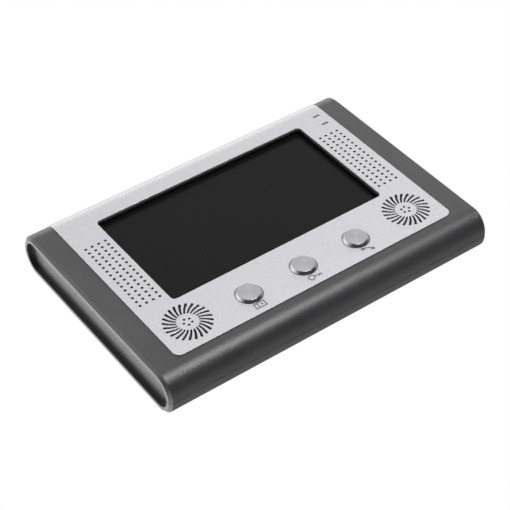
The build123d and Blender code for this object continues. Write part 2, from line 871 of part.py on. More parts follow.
with BuildPart() as speaker_magnet:
    with BuildSketch(facing(speaker_back - magnet_height)):
        with Locations(swirl_places[0]):
            Circle(magnet_radius)
    extrude(amount=magnet_height)
speaker_magnet.part.label = "speaker_magnet"
export_step(speaker_magnet.part, "parts/speaker_magnet.step")

with BuildPart() as speaker_cone:
    with BuildSketch(facing(cone_depth)):
        with Locations(swirl_places[0]):
            Circle(speaker_radius - foam_width)
    extrude(amount=cone_sheet)
    with BuildSketch(facing(cone_depth + cone_sheet)):
        with Locations(swirl_places[0]):
            Circle(cone_dome_radius)
    extrude(amount=cone_dome_height, taper=cone_dome_taper)
speaker_cone.part.label = "speaker_cone"
export_step(speaker_cone.part, "parts/speaker_cone.step")

with BuildPart() as speaker_gasket:
    with BuildSketch(facing(speaker_back + speaker_height + foam_gap)):
        with Locations(swirl_places[0]):
            Circle(speaker_radius)
            Circle(speaker_radius - foam_width, mode=Mode.SUBTRACT)
    extrude(amount=foam_height)
speaker_gasket.part.label = "speaker_gasket"
export_step(speaker_gasket.part, "parts/speaker_gasket.step")

with BuildPart() as speaker_retainer:
    with BuildSketch(facing(retainer_depth)):
        with Locations(swirl_places[0]):
            Circle(speaker_radius)
            Circle(speaker_radius - retainer_width, mode=Mode.SUBTRACT)
    extrude(amount=retainer_height)
speaker_retainer.part.label = "speaker_retainer"
export_step(speaker_retainer.part, "parts/speaker_retainer.step")

with BuildPart() as microphone:
    with BuildSketch(facing(capsule_depth)):
        with Locations(swirl_places[1]):
            Circle(capsule_radius)
    extrude(amount=capsule_height)
microphone.part.label = "microphone"
export_step(microphone.part, "parts/microphone.step")

with BuildPart() as microphone_boot:
    with BuildSketch(facing(boot_depth)):
        with Locations(swirl_places[1]):
            Circle(boot_radius)
    extrude(amount=boot_height)
    with BuildSketch(facing(capsule_depth - touch_gap)):
        with Locations(swirl_places[1]):
            Circle(capsule_radius + touch_gap)
    extrude(amount=boot_height, mode=Mode.SUBTRACT)
microphone_boot.part.label = "microphone_boot"
export_step(microphone_boot.part, "parts/microphone_boot.step")

with BuildPart() as dust_cloths:
    with BuildSketch(facing(front_inside - cloth_sheet - touch_gap)):
        with Locations(grid_places):
            Rectangle(grid_cloth[0], grid_cloth[1])
    extrude(amount=cloth_sheet)
    with BuildSketch(facing(front_depth - swirl_pocket_depth + touch_gap)):
        with Locations(swirl_places):
            Circle(swirl_pocket - running_gap)
    extrude(amount=cloth_sheet)
dust_cloths.part.label = "dust_cloths"
export_step(dust_cloths.part, "parts/dust_cloths.step")

# ---- Push buttons: cap with a flange behind the frame and a nub over its switch ----
for name, x in zip(("monitor_button", "unlock_button", "talk_button"), button_xs):
    with BuildPart() as button:
        with BuildSketch(facing(front_inside - flange_thickness - flange_play)):
            with Locations((x, button_z)):
                Circle(button_flange / 2)
        extrude(amount=flange_thickness)
        with BuildSketch(facing(front_inside - 2 * flange_play)):
            with Locations((x, button_z)):
                Circle(button_base / 2)
        extrude(amount=panel_face - front_inside + 2 * flange_play)
        with BuildSketch(facing(panel_face)):
            with Locations((x, button_z)):
                Circle(button_base / 2)
        with BuildSketch(facing(panel_face + button_height)):
            with Locations((x, button_z)):
                Circle(button_top / 2)
        loft()
        with BuildSketch(facing(front_inside - flange_thickness - nub_length)):
            with Locations((x, button_z)):
                Circle(button_nub)
        extrude(amount=nub_length)
    button.part.label = name
    export_step(button.part, f"parts/{name}.step")

# Printed marks under the buttons: a screen with its control strip, a key and a handset
with BuildPart() as button_marks:
    with BuildSketch(facing(panel_face)):
        with Locations((button_xs[0], mark_z)):
            Rectangle(screen_mark[0], screen_mark[1])
            Rectangle(screen_mark[0] - 2 * mark_line, screen_mark[1] - 2 * mark_line, mode=Mode.SUBTRACT)
        with Locations((button_xs[0] - screen_mark[0] / 6, mark_z)):
            Rectangle(mark_line, screen_mark[1])
        with Locations((button_xs[0] + screen_mark[0] / 6, mark_z)):
            Circle(mark_line)
        with Locations((button_xs[1] - key_ring_radius, mark_z)):
            Circle(key_ring_radius)
            Circle(key_ring_radius - mark_line, mode=Mode.SUBTRACT)
        with Locations((button_xs[1], mark_z)):
            Rectangle(key_shaft, mark_line, align=(Align.MIN, Align.CENTER))
        with Locations([(button_xs[1] + tooth, mark_z) for tooth in key_teeth]):
            Rectangle(mark_line, key_tooth_length, align=(Align.CENTER, Align.MAX))
        with Locations([(button_xs[2] + x, mark_z + z) for x, z in handset_ends]):
            RectangleRounded(handset_end_size[0], handset_end_size[1], mark_line, rotation=handset_tilt)
        with Locations((button_xs[2] + mark_line / 2, mark_z + mark_line)):
            Rectangle(handset_length, mark_line, rotation=handset_tilt)
    extrude(amount=mark_ink)
button_marks.part.label = "button_marks"
export_step(button_marks.part, "parts/button_marks.step")

# ---- Thumbwheels on their potentiometers ----
pot_top = side_board_front + pot_height
wheel_base = mid_depth - wheel_thickness / 2
shaft_top = wheel_base + wheel_thickness + running_gap
wheel_centres = [(wheel_x, z) for z in wheel_zs]

with BuildPart() as wheel_pots:
    with BuildSketch(facing(side_board_front)):
        with Locations(wheel_centres):
            Rectangle(pot_size, pot_size)
    extrude(amount=pot_height)
    with BuildSketch(facing(pot_top)):
        with Locations(wheel_centres):
            Circle(shaft_radius)
    extrude(amount=shaft_top - pot_top)
    with BuildSketch(facing(shaft_top)):
        with Locations(wheel_centres):
            Circle(shaft_head_radius)
    extrude(amount=shaft_head_height)
wheel_pots.part.label = "wheel_pots"
export_step(wheel_pots.part, "parts/wheel_pots.step")

for name, z in zip(("brightness_wheel", "contrast_wheel", "volume_wheel"), wheel_zs):
    with BuildPart() as wheel:
        with BuildSketch(facing(wheel_base)):
            with Locations((wheel_x, z)):
                Circle(wheel_radius)
                Circle(shaft_radius + touch_gap, mode=Mode.SUBTRACT)
                with PolarLocations(wheel_radius + wheel_notch_radius / 3, wheel_notches):
                    Circle(wheel_notch_radius, mode=Mode.SUBTRACT)
        extrude(amount=wheel_thickness)
    wheel.part.label = name
    export_step(wheel.part, f"parts/{name}.step")

# ---- Power socket and power switch ----
socket_face = inner_half_length - 2 * touch_gap
with BuildPart() as power_socket:
    with BuildSketch(facing(side_board_front)):
        with Locations((socket_face - socket_size[0] / 2, socket_z)):
            Rectangle(socket_size[0], socket_size[2])
    extrude(amount=socket_size[1])
    with BuildSketch(across(socket_face)):
        with Locations((mid_depth - socket_depth, socket_z)):
            Circle(socket_bore_radius)
    extrude(amount=-socket_bore_length, mode=Mode.SUBTRACT)
power_socket.part.label = "power_socket"
export_step(power_socket.part, "parts/power_socket.step")

with BuildPart() as power_pin:
    with BuildSketch(across(socket_face - socket_pin_sunk)):
        with Locations((mid_depth - socket_depth, socket_z)):
            Circle(socket_pin_radius)
    extrude(amount=socket_pin_sunk - socket_bore_length)
power_pin.part.label = "power_pin"
export_step(power_pin.part, "parts/power_pin.step")

with BuildPart() as power_switch:
    with BuildSketch(facing(side_board_front)):
        with Locations((switch_x, switch_z)):
            Rectangle(switch_size[0], switch_size[2])
    extrude(amount=switch_size[1])
    with BuildSketch(across(switch_x + switch_size[0] / 2)):
        with Locations((mid_depth - switch_depth, switch_z)):
            Rectangle(switch_track[0], switch_track[1])
    extrude(amount=-switch_track_depth, mode=Mode.SUBTRACT)
power_switch.part.label = "power_switch"
export_step(power_switch.part, "parts/power_switch.step")

with BuildPart() as switch_knob:
    with BuildSketch(across(knob_back_x)):
        with Locations((mid_depth - switch_depth, switch_z + switch_throw / 2)):
            Rectangle(knob_size[0], knob_size[1])
    extrude(amount=end_floor_x - running_gap - knob_back_x)
switch_knob.part.label = "switch_knob"
export_step(switch_knob.part, "parts/switch_knob.step")

# ---- Fasteners ----
with BuildPart() as case_screws:
    for depth, (radius, length) in (
        (counterbore_depth - case_screw_head[1], case_screw_head),
        (counterbore_depth, case_screw_shaft),
    ):
        with BuildSketch(facing(depth)):
            with Locations(screw_places):
                Circle(radius)
        extrude(amount=length)
    with BuildSketch(facing(counterbore_depth - case_screw_head[1])):
        with Locations(screw_places):
            Rectangle(cross_recess[0], cross_recess[1])
            Rectangle(cross_recess[1], cross_recess[0])
    extrude(amount=cross_recess[2], mode=Mode.SUBTRACT)
case_screws.part.label = "case_screws"
export_step(case_screws.part, "parts/case_screws.step")

# Each entry: places, depth of the seat, +1 where the shaft points at the user
screw_sets = [
    (main_board_screws, main_board_front, -1),
    (side_board_screws, side_board_front, -1),
    (strap_screws, module_back - strap_sheet, 1),
    (button_board_screws, button_board_depth, 1),
    ([indicator_screw], indicator_board_depth, 1),
]
with BuildPart() as board_screws:
    for places, seat, way in screw_sets:
        with BuildSketch(facing(seat)):
            with Locations(places):
                Circle(small_head[0])
        extrude(amount=-way * small_head[1])
        with BuildSketch(facing(seat)):
            with Locations(places):
                Circle(small_shaft[0])
        extrude(amount=way * small_shaft[1])
board_screws.part.label = "board_screws"
export_step(board_screws.part, "parts/board_screws.step")

# ---- Seal disc and corner sticker ----
with BuildPart() as seal_disc:
    with BuildSketch(facing(bracket_gap - seal_sheet)):
        with Locations(seal_place):
            Circle(seal_radius)
    extrude(amount=seal_sheet)
seal_disc.part.label = "seal_disc"
export_step(seal_disc.part, "parts/seal_disc.step")

with BuildPart() as corner_sticker:
    add(slab(-sticker_sheet, monitor_width / 2))
    add(slab(0, monitor_width / 2 + over), mode=Mode.SUBTRACT)
    with BuildSketch(facing(bracket_gap - over)):
        with Locations(sticker_place):
            Rectangle(sticker_size[0], sticker_size[1], rotation=sticker_tilt)
    extrude(amount=sticker_reach, mode=Mode.INTERSECT)
corner_sticker.part.label = "corner_sticker"
export_step(corner_sticker.part, "parts/corner_sticker.step")

# ---- Wall bracket: folded steel tray with four hooks ----
with BuildPart() as wall_bracket:
    with BuildSketch(facing(0, 0)):
        Rectangle(bracket_width, bracket_height)
    extrude(amount=bracket_tray)
    fillet(wall_bracket.faces().sort_by(Axis.Y)[-1].edges(), bend_radius)
    with BuildSketch(facing(sheet, 0)):
        Rectangle(bracket_width - 2 * sheet, bracket_height - 2 * sheet)
    extrude(amount=bracket_tray, mode=Mode.SUBTRACT)
    # Open corners between the folded flanges
    with BuildSketch(facing(sheet, 0)):
        with GridLocations(bracket_width, bracket_height, 2, 2):
            Rectangle(corner_cut, corner_cut)
    extrude(amount=bracket_tray, mode=Mode.SUBTRACT)
    # Hooks: neck through the case wall, foot bent outwards behind it
    for side in (-1, 1):
        for z in (hook_spacing / 2, -hook_spacing / 2):
            with BuildSketch(facing(bracket_tray - over, 0)):
                with Locations((side * hook_x, z)):
                    Rectangle(sheet, hook_length)
            extrude(amount=hook_reach - bracket_tray + over)
            with BuildSketch(facing(hook_reach - sheet, 0)):
                foot_z = z - hook_length / 2 + foot_length / 2 + foot_rise
                with Locations((side * (bracket_width / 2 + foot_width / 2 - foot_root), foot_z)):
                    Rectangle(foot_width + 2 * foot_root, foot_length)
            extrude(amount=sheet)
    # Holes in the plate
    with BuildSketch(facing(0, 0)):
        with GridLocations(big_hole_pitch, 1, 3, 1):
            Circle(big_hole)
        for z in (-oval_z, oval_z):
            with Locations((0, z)):
                Ellipse(centre_oval[0], centre_oval[1])
            with Locations((-big_hole_pitch, z), (big_hole_pitch, z)):
                Ellipse(side_oval[0], side_oval[1])
        with Locations((-screw_column_x, screw_row_z), (screw_column_x, screw_row_z)):
            SlotOverall(screw_slot_length, screw_slot_width, rotation=90)
        with Locations((-screw_column_x, -screw_row_z), (screw_column_x, -screw_row_z)):
            SlotOverall(screw_slot_length, screw_slot_width)
        with Locations((0, screw_row_z)):
            SlotOverall(centre_slot_length, screw_slot_width)
        with Locations((0, -screw_row_z)):
            SlotOverall(centre_slot_length, screw_slot_width, rotation=90)
        with GridLocations(bracket_width - 2 * sheet - hook_window[1], hook_spacing, 2, 2):
            Rectangle(hook_window[0], hook_length)
    extrude(amount=sheet, mode=Mode.SUBTRACT)
wall_bracket.part.label = "wall_bracket"
export_step(wall_bracket.part, "parts/wall_bracket.step")
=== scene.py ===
import math

import bpy
from mathutils import Matrix, Vector


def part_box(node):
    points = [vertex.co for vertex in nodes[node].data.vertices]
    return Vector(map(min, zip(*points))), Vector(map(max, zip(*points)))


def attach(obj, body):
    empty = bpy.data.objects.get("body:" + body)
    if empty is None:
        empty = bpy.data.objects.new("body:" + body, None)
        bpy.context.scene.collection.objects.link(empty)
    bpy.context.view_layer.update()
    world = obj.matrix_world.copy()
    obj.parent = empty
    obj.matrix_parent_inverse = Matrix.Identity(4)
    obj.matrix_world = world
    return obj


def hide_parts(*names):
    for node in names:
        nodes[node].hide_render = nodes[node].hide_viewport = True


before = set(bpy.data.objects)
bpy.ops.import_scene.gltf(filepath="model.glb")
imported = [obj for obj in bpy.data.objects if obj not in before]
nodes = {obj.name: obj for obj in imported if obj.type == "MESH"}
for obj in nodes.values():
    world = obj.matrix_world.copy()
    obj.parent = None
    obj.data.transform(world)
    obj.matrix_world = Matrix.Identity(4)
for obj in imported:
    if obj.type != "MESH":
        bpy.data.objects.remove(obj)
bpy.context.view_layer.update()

# ---- Case halves ----
# The two halves of the case are injection moulded in dark grey ABS. The mould's spark-eroded
# surface leaves a fine even grain on them. Four screws from the back hold the halves together.


class Wire:
    """One value in a node tree. Arithmetic on it adds Math nodes."""

    def __init__(self, graph, socket):
        self.graph = graph
        self.socket = socket

    def math(self, operation, *values):
        return self.graph.node("ShaderNodeMath", {"operation": operation}, dict(enumerate(values)))

    def __add__(self, other):
        return self.math("ADD", self, other)

    def __sub__(self, other):
        return self.math("SUBTRACT", self, other)

    def __rsub__(self, other):
        return self.math("SUBTRACT", other, self)

    def __mul__(self, other):
        return self.math("MULTIPLY", self, other)

    def __pow__(self, other):
        return self.math("POWER", self, other)

    __radd__ = __add__
    __rmul__ = __mul__


class Graph:
    """A node tree that is written as expressions."""

    def __init__(self, tree):
        self.tree = tree

    def node(self, kind, settings=None, sockets=None, output=0):
        """Adds a node: its settings first, then its sockets' values or links."""
        made = self.tree.nodes.new(kind)
        for name, value in (settings or {}).items():
            if name == "stops":
                ramp = made.color_ramp.elements
                for element, (position, shade) in zip((ramp[0], ramp[1]), value):
                    element.position = position
                    element.color = (shade, shade, shade, 1)
            else:
                setattr(made, name, value)
        for key, value in (sockets or {}).items():
            for link in value if isinstance(value, list) else [value]:
                if isinstance(link, Wire):
                    self.tree.links.new(link.socket, made.inputs[key])
                else:
                    made.inputs[key].default_value = link
        return Wire(self, made.outputs[output])


class Finish(Graph):
    """A surface finish: one Principled shader, its constants and what varies over the surface."""

    def __init__(self, name, colour, constants):
        self.material = bpy.data.materials.new(name)
        self.material.use_nodes = True
        super().__init__(self.material.node_tree)
        self.shader = self.tree.nodes["Principled BSDF"]
        self.shader.inputs["Base Color"].default_value = (*colour, 1)
        for socket, value in constants.items():
            self.shader.inputs[socket].default_value = value
        self.colour = colour
        self.place = self.node("ShaderNodeTexCoord", output=3)

    def noise(self, size, detail=2.0, stretch=(1, 1, 1)):
        """Soft random values, `size` metres from one bump to the next."""
        place = self.node("ShaderNodeVectorMath", {"operation": "MULTIPLY"}, {0: self.place, 1: stretch})
        return self.node("ShaderNodeTexNoise", None, {"Vector": place, "Scale": 1 / size, "Detail": detail})

    def ramp(self, value, low, high):
        """0 below `low`, 1 above `high`."""
        return self.node("ShaderNodeMapRange", None, {"Value": value, "From Min": low, "From Max": high})

    def tint(self, mask, first, second):
        """Colour that goes from `first` to `second` with the mask."""
        colours = [c if isinstance(c, Wire) else (*c, 1) for c in (first, second)]
        sockets = {0: mask, 6: colours[0], 7: colours[1]}
        return self.node("ShaderNodeMix", {"data_type": "RGBA"}, sockets, output=2)

    def edges(self, radius):
        """Normal rounded over the piece's edges, and a mask that is 1 on them."""
        rounded = self.node("ShaderNodeBevel", {"samples": 6}, {"Radius": radius})
        flat = self.node("ShaderNodeNewGeometry", output=1)
        same = self.node("ShaderNodeVectorMath", {"operation": "DOT_PRODUCT"}, {0: rounded, 1: flat}, output=1)
        return rounded, self.ramp(1 - same, 0.004, 0.12)

    def bump(self, height, depth, normal=None):
        """Normal with the height map's relief, `depth` metres deep."""
        sockets = {"Height": height, "Distance": depth, "Strength": 1.0}
        if normal:
            sockets["Normal"] = normal
        return self.node("ShaderNodeBump", None, sockets)

    def vary(self, links):
        """Feeds the shader's sockets with values that change over the surface."""
        for socket, wire in links.items():
            self.tree.links.new(wire.socket, self.shader.inputs[socket])
        return self.material


def shade(colour, factor):
    """Lighter or darker version of a colour."""
    return tuple(min(1.0, channel * factor) for channel in colour)


def dress(material, *names):
    """Gives carried-over nodes their finish."""
    for name in names:
        nodes[name].data.materials.clear()
        nodes[name].data.materials.append(material)


def moulded(name, colour, grain, roughness):
    """Dull moulded plastic with a spark-eroded grain and faintly polished edges."""
    finish = Finish(name, colour, {"Specular IOR Level": 0.5, "Coat Weight": 0.0})
    cloud = finish.noise(0.03, 3.0)
    speckle = finish.noise(0.0007, 1.0)
    rounded, worn = finish.edges(0.00035)
    mottled = finish.tint(finish.ramp(cloud * 0.6 + speckle * 0.4, 0.35, 0.65), shade(colour, 0.86), shade(colour, 1.16))
    relief = finish.noise(grain, 2.0) + finish.noise(grain * 2.2, 2.0) * 1.3
    return finish.vary({
        "Base Color": finish.tint(worn * 0.35, mottled, shade(colour, 1.7)),
        "Roughness": roughness + (cloud - 0.5) * 0.12 - worn * 0.08,
        "Normal": finish.bump(relief, 0.00008, rounded),
    })


dress(moulded("frame_grey", (0.031, 0.031, 0.033), 0.00042, 0.36), "front_frame")
dress(moulded("case_grey", (0.034, 0.034, 0.036), 0.00048, 0.42), "rear_case")

# ---- Front panel ----
# One sheet of aluminium, blanked with its window, grilles and button holes, then bent over the
# top edge of the frame and bonded to it. It is bead blasted and clear anodised to a satin silver.
silver = (0.480, 0.475, 0.492)
panel = Finish("satin_silver", silver, {"Metallic": 0.65, "Specular IOR Level": 0.4})
blast = panel.noise(0.0005, 2.0) + panel.noise(0.0014, 2.0) * 1.2
sparkle = panel.ramp(panel.noise(0.0011, 1.0), 0.30, 0.70)
haze = panel.noise(0.045, 2.0)
panel_rounded, panel_edge = panel.edges(0.00025)
panel_colour = panel.tint(sparkle, shade(silver, 0.93), shade(silver, 1.06))
dress(panel.vary({
    "Base Color": panel.tint(panel_edge * 0.6, panel_colour, shade(silver, 1.25)),
    "Roughness": 0.46 + (haze - 0.5) * 0.10 + sparkle * 0.05 - panel_edge * 0.1,
    "Normal": panel.bump(blast, 0.00004, panel_rounded),
}), "front_panel")

# ---- Screen ----
# A liquid crystal module sits behind the window: polarised glass in a folded tin-plate bezel,
# a white backlight tray behind it, and a foam gasket that seals it to the frame.
glass = Finish("screen_gloss", (0.0085, 0.0085, 0.009), {"Specular IOR Level": 0.09, "Coat Weight": 0.0})
ripple = glass.noise(0.06, 2.0)
smear = glass.noise(0.018, 3.0, (1, 1, 0.5))
dress(glass.vary({
    "Base Color": glass.tint(glass.noise(0.0004, 0.0), (0.0050, 0.0050, 0.0052), (0.0065, 0.0065, 0.0068)),
    "Roughness": 0.16 + glass.ramp(smear, 0.45, 0.75) * 0.05,
    "Normal": glass.bump(ripple, 0.00002),
}), "screen_glass")

tin = Finish("tin_plate", (0.58, 0.58, 0.57), {"Metallic": 1.0})
rolled = tin.noise(0.0006, 2.0, (0.05, 1, 1))
tin_rounded, tin_edge = tin.edges(0.0002)
dress(tin.vary({
    "Base Color": tin.tint(rolled, (0.50, 0.50, 0.49), (0.66, 0.66, 0.65)),
    "Roughness": 0.28 + rolled * 0.16 - tin_edge * 0.05,
    "Normal": tin.bump(rolled, 0.000006, tin_rounded),
}), "screen_bezel", "screen_straps", "speaker_basket", "power_pin")

nylon = Finish("white_nylon", (0.80, 0.79, 0.76), {"Subsurface Weight": 0.15, "Subsurface Scale": 0.001})
flow = nylon.noise(0.006, 2.0)
dress(nylon.vary({
    "Base Color": nylon.tint(flow, (0.76, 0.75, 0.71), (0.84, 0.83, 0.80)),
    "Roughness": 0.36 + flow * 0.12,
    "Normal": nylon.bump(nylon.noise(0.0005, 1.0), 0.00001, nylon.edges(0.00025)[0]),
}), "backlight", "terminal_sockets", "ribbon_connector")

foam = Finish("black_foam", (0.02, 0.02, 0.021), {"Specular IOR Level": 0.3})
cells = foam.node("ShaderNodeTexVoronoi", None, {"Vector": foam.place, "Scale": 2600.0})
dress(foam.vary({
    "Base Color": foam.tint(cells, (0.012, 0.012, 0.013), (0.032, 0.032, 0.034)),
    "Roughness": 0.85 + cells * 0.1,
    "Normal": foam.bump(cells, 0.00012),
}), "screen_gasket", "speaker_gasket")

film = Finish("ribbon_film", (0.50, 0.27, 0.07), {"Coat Weight": 0.4, "Coat Roughness": 0.15})
tracks = film.node("ShaderNodeTexWave", {"bands_direction": "X"}, {"Vector": film.place, "Scale": 320.0}, output=1)
dress(film.vary({
    "Base Color": film.tint(film.ramp(tracks, 0.35, 0.6), (0.42, 0.20, 0.05), (0.66, 0.40, 0.12)),
    "Roughness": 0.3 + tracks * 0.1,
    "Normal": film.bump(tracks, 0.00002),
}), "screen_ribbon")

# ---- Sound openings: cloths, speaker and microphone ----
# Black woven cloth is stuck behind every group of holes. A 26 mm speaker sits behind the left
# swirl in a tin-plate basket, and an electret capsule in a rubber boot behind the right one.
cloth = Finish("dust_cloth", (0.022, 0.022, 0.024), {"Sheen Weight": 0.3, "Specular IOR Level": 0.2})
weft = cloth.node("ShaderNodeTexWave", {"bands_direction": "X"}, {"Vector": cloth.place, "Scale": 480.0}, output=1)
warp = cloth.node("ShaderNodeTexWave", {"bands_direction": "Z"}, {"Vector": cloth.place, "Scale": 480.0}, output=1)
weave = weft * warp + (1 - weft) * (1 - warp)
dress(cloth.vary({
    "Base Color": cloth.tint(weave, (0.006, 0.006, 0.007), (0.03, 0.03, 0.033)),
    "Roughness": 0.8 + weave * 0.1,
    "Normal": cloth.bump(weave, 0.0001),
}), "dust_cloths")

pulp = Finish("cone_paper", (0.045, 0.045, 0.046), {"Specular IOR Level": 0.3})
fibres = pulp.noise(0.0012, 4.0)
dress(pulp.vary({
    "Base Color": pulp.tint(fibres, (0.03, 0.03, 0.031), (0.07, 0.07, 0.071)),
    "Roughness": 0.7 + fibres * 0.2,
    "Normal": pulp.bump(fibres, 0.00008),
}), "speaker_cone")

ferrite = Finish("ferrite", (0.06, 0.06, 0.063), {"Metallic": 0.4})
sinter = ferrite.noise(0.0008, 4.0)
dress(ferrite.vary({
    "Base Color": ferrite.tint(sinter, (0.035, 0.035, 0.037), (0.09, 0.09, 0.095)),
    "Roughness": 0.5 + sinter * 0.25,
    "Normal": ferrite.bump(sinter, 0.00005, ferrite.edges(0.0004)[0]),
}), "speaker_magnet")

boot = Finish("boot_rubber", (0.024, 0.024, 0.025), {"Specular IOR Level": 0.35})
bloom = boot.noise(0.003, 3.0)
dress(boot.vary({
    "Base Color": boot.tint(bloom, (0.018, 0.018, 0.019), (0.034, 0.034, 0.035)),
    "Roughness": 0.62 + bloom * 0.2,
    "Normal": boot.bump(boot.noise(0.0004, 1.0), 0.00003),
}), "microphone_boot")

can = Finish("aluminium_can", (0.74, 0.74, 0.75), {"Metallic": 1.0})
drawn = can.noise(0.0009, 2.0, (1, 0.06, 1))
dress(can.vary({
    "Base Color": can.tint(drawn, (0.66, 0.66, 0.67), (0.80, 0.80, 0.81)),
    "Roughness": 0.25 + drawn * 0.15,
    "Normal": can.bump(drawn, 0.00001, can.edges(0.0004)[0]),
}), "board_capacitors", "microphone")

# ---- Push buttons ----
# Three turned aluminium caps in a row below the screen. Each has a spun face, a polished chamfer,
# a skirt through the panel and a flange behind the frame that holds it in.


def lathe(name, profile, centre, sides, material):
    """Closed solid turned about the Y axis: the profile is (radius, height towards the user)."""
    points = []
    rings = []
    for radius, height in profile:
        if radius == 0:
            rings.append([len(points)])
            points.append((centre.x, centre.y - height, centre.z))
            continue
        rings.append(list(range(len(points), len(points) + sides)))
        for step in range(sides):
            turn = 2 * math.pi * step / sides
            points.append((centre.x + radius * math.cos(turn), centre.y - height, centre.z + radius * math.sin(turn)))
    faces = []
    for inner, outer in zip(rings, rings[1:]):
        for step in range(sides):
            after = (step + 1) % sides
            if len(inner) == 1:
                faces.append((inner[0], outer[step], outer[after]))
            elif len(outer) == 1:
                faces.append((inner[step], outer[0], inner[after]))
            else:
                faces.append((inner[step], outer[step], outer[after], inner[after]))
    mesh = bpy.data.meshes.new(name)
    mesh.from_pydata(points, [], faces)
    mesh.materials.append(material)
    mesh.shade_smooth()
    made = bpy.data.objects.new(name, mesh)
    bpy.context.scene.collection.objects.link(made)
    return made


def rounded_profile(corners, steps=5):
    """Profile with its corners rounded: each corner is (radius, height, rounding)."""
    turned = [corners[0][:2]]
    for before, corner, after in zip(corners, corners[1:], corners[2:]):
        middle = Vector(corner[:2])
        back = (Vector(before[:2]) - middle).normalized() * corner[2]
        ahead = (Vector(after[:2]) - middle).normalized() * corner[2]
        if corner[2] == 0:
            turned.append(tuple(middle))
            continue
        for step in range(steps + 1):
            t = step / steps
            turned.append(tuple(middle + back * (1 - t) ** 2 + ahead * t ** 2))
    return turned + [corners[-1][:2]]


cap_metal = (0.40, 0.395, 0.405)
cap_top_radius = 0.0069
cap_skirt_radius = 0.0082
cap_flange_radius = 0.0098
cap_chamfer_height = 0.0018
cap_flange_thickness = 0.0011
cap_nub_radius = 0.0020
groove_pitch = 0.00042


def spun_cap(name, x, z):
    """Bright aluminium with fine concentric tool marks round the cap's own centre."""
    finish = Finish(name, cap_metal, {"Metallic": 1.0})
    local = finish.node("ShaderNodeMapping", None, {"Vector": finish.place, "Location": (-x, 0, -z)})
    flat = finish.node("ShaderNodeVectorMath", {"operation": "MULTIPLY"}, {0: local, 1: (1, 0, 1)})
    radius = finish.node("ShaderNodeVectorMath", {"operation": "LENGTH"}, {0: flat}, output=1)
    grooves = finish.node("ShaderNodeMath", {"operation": "SINE"}, {0: radius * (2 * math.pi / groove_pitch)})
    marks = finish.noise(0.0016, 3.0)
    return finish.vary({
        "Base Color": finish.tint(grooves * 0.5 + 0.5, shade(cap_metal, 0.9), shade(cap_metal, 1.08)),
        "Roughness": 0.2 + marks * 0.1,
        "Normal": finish.bump(grooves + marks * 0.5, 0.000012),
    })


for body, node in (
    ("monitor_key", "monitor_button"),
    ("unlock_key", "unlock_button"),
    ("talk_key", "talk_button"),
):
    low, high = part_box(node)
    centre = Vector(((low.x + high.x) / 2, low.y, (low.z + high.z) / 2))
    back = low.y - high.y
    flange_front = back + 0.0004 + cap_flange_thickness
    cap = lathe(node + "_cap", rounded_profile([
        (0, -0.00012, 0),
        (0.0042, -0.00008, 0.001),
        (cap_top_radius, 0, 0.00022),
        (cap_skirt_radius, -cap_chamfer_height, 0.00018),
        (cap_skirt_radius, flange_front, 0),
        (cap_flange_radius, flange_front, 0.0002),
        (cap_flange_radius, flange_front - cap_flange_thickness, 0.0002),
        (cap_nub_radius, flange_front - cap_flange_thickness, 0),
        (cap_nub_radius, back, 0.0002),
        (0, back, 0),
    ]), centre, 96, spun_cap(node + "_metal", centre.x, centre.z))
    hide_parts(node)
    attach(cap, body)

# ---- Marks under the buttons ----
# Thin pictograms printed in grey ink below the buttons: a screen, a key and a handset.
ink = Finish("grey_ink", (0.10, 0.10, 0.11), {"Specular IOR Level": 0.4})
print_grain = ink.noise(0.0003, 2.0)
dress(ink.vary({
    "Base Color": ink.tint(print_grain, (0.07, 0.07, 0.08), (0.15, 0.15, 0.16)),
    "Roughness": 0.45 + print_grain * 0.2,
}), "button_marks")

# ---- Indicators ----
# Two smoked lenses fill the slots at the top right, each over a small lamp on its own board.
smoke = Finish("smoked_lens", (0.05, 0.05, 0.055), {"Coat Weight": 0.5, "IOR": 1.49})
smoke_haze = smoke.noise(0.002, 2.0)
dress(smoke.vary({
    "Base Color": smoke.tint(smoke_haze, (0.035, 0.035, 0.04), (0.07, 0.07, 0.075)),
    "Roughness": 0.15 + smoke_haze * 0.08,
    "Normal": smoke.edges(0.0002)[0],
}), "indicator_lenses")

lamp = Finish("lamp_resin", (0.83, 0.82, 0.66), {"Coat Weight": 0.3, "Subsurface Weight": 0.2, "Subsurface Scale": 0.0005})
lamp_cloud = lamp.noise(0.0008, 2.0)
dress(lamp.vary({
    "Base Color": lamp.tint(lamp_cloud, (0.78, 0.75, 0.52), (0.86, 0.85, 0.74)),
    "Roughness": 0.25 + lamp_cloud * 0.1,
}), "indicator_lamps")

# ---- Boards and what is soldered to them ----
# Fibreglass boards with green solder mask over copper tracks carry the electronics. They are
# screwed to posts in the case halves.
mask_green = (0.014, 0.115, 0.05)
board = Finish("circuit_board", mask_green, {"Coat Weight": 0.5, "Coat Roughness": 0.2})
grid = board.node("ShaderNodeTexBrick", {"offset": 0.3}, {
    "Vector": board.node("ShaderNodeMapping", None, {"Vector": board.place, "Rotation": (math.pi / 2, 0, 0)}),
    "Scale": 90.0, "Mortar Size": 0.03, "Mortar Smooth": 0.3, "Brick Width": 1.7, "Row Height": 0.22,
}, output=1)
dress(board.vary({
    "Base Color": board.tint(grid, mask_green, (0.03, 0.20, 0.085)),
    "Roughness": 0.32 + board.noise(0.004, 2.0) * 0.12,
    "Normal": board.bump(grid, 0.00004, board.edges(0.0002)[0]),
}), "main_board", "side_board", "button_board", "indicator_board")

